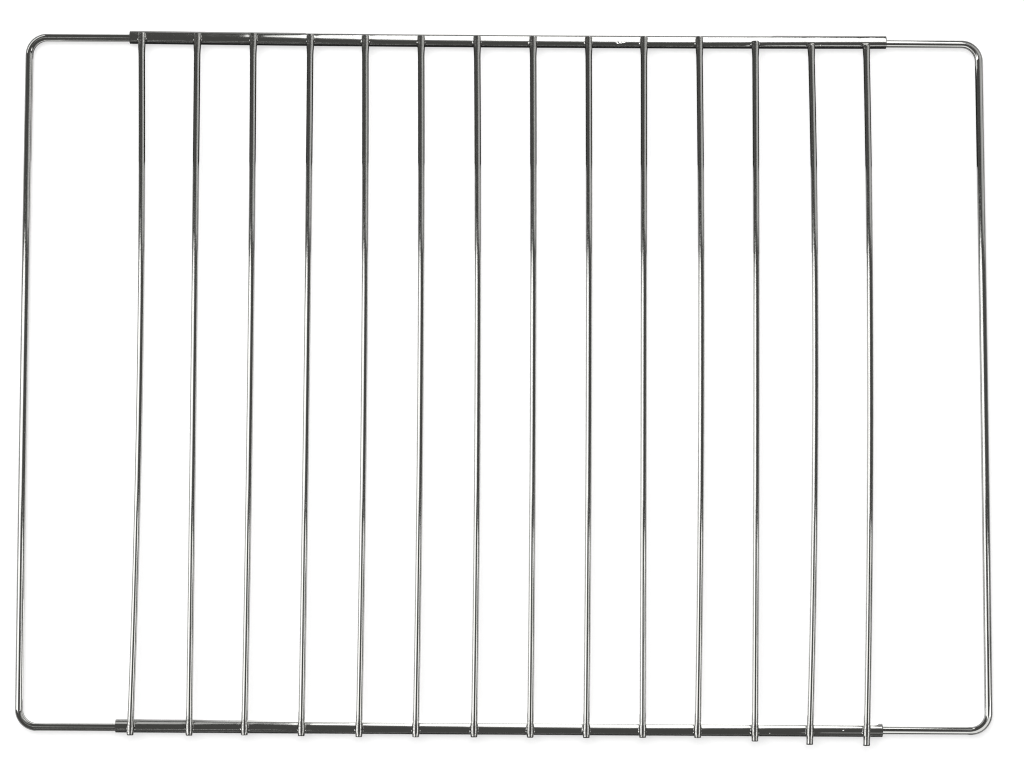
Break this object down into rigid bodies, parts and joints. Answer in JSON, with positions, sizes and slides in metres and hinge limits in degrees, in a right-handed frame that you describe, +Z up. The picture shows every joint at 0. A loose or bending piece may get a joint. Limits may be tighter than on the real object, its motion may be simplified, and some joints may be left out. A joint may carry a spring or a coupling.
{
  "type": "extending grill grate",
  "caption": "Flat chromed wire grate: cross wires welded on tubes, with a wire loop that slides out of the tubes at each end to fit ovens of different widths.",
  "frame": {"origin": "midway between the two tubes, on the surface that the grate lies on", "axes": "+X along the tubes towards the right end loop, +Y towards the rear tube, +Z up, with the cross wires on top"},
  "size_m": [0.441, 0.3227, 0.0087],
  "materials": {
    "tube_chrome": "bright plated, slightly hazy",
    "wire_chrome": "bright plated, with dull weld marks",
    "loop_chrome": "bright plated"
  },
  "bodies": {
    "rack": {"rear_tube": "tube_chrome", "front_tube": "tube_chrome", "cross_wire_01": "wire_chrome", "cross_wire_02": "wire_chrome", "cross_wire_03": "wire_chrome", "cross_wire_04": "wire_chrome", "cross_wire_05": "wire_chrome", "cross_wire_06": "wire_chrome", "cross_wire_07": "wire_chrome", "cross_wire_08": "wire_chrome", "cross_wire_09": "wire_chrome", "cross_wire_10": "wire_chrome", "cross_wire_11": "wire_chrome", "cross_wire_12": "wire_chrome", "cross_wire_13": "wire_chrome", "cross_wire_14": "wire_chrome"},
    "left_loop": {"left_end_loop": "loop_chrome"},
    "right_loop": {"right_end_loop": "loop_chrome"}
  },
  "joints": [
    {"name": "left_loop_slide", "type": "slide", "parent": "rack", "child": "left_loop", "axis": [-1, 0, 0], "range_m": [-0.034, 0.06]},
    {"name": "right_loop_slide", "type": "slide", "parent": "rack", "child": "right_loop", "axis": [1, 0, 0], "range_m": [-0.034, 0.06]}
  ]
}
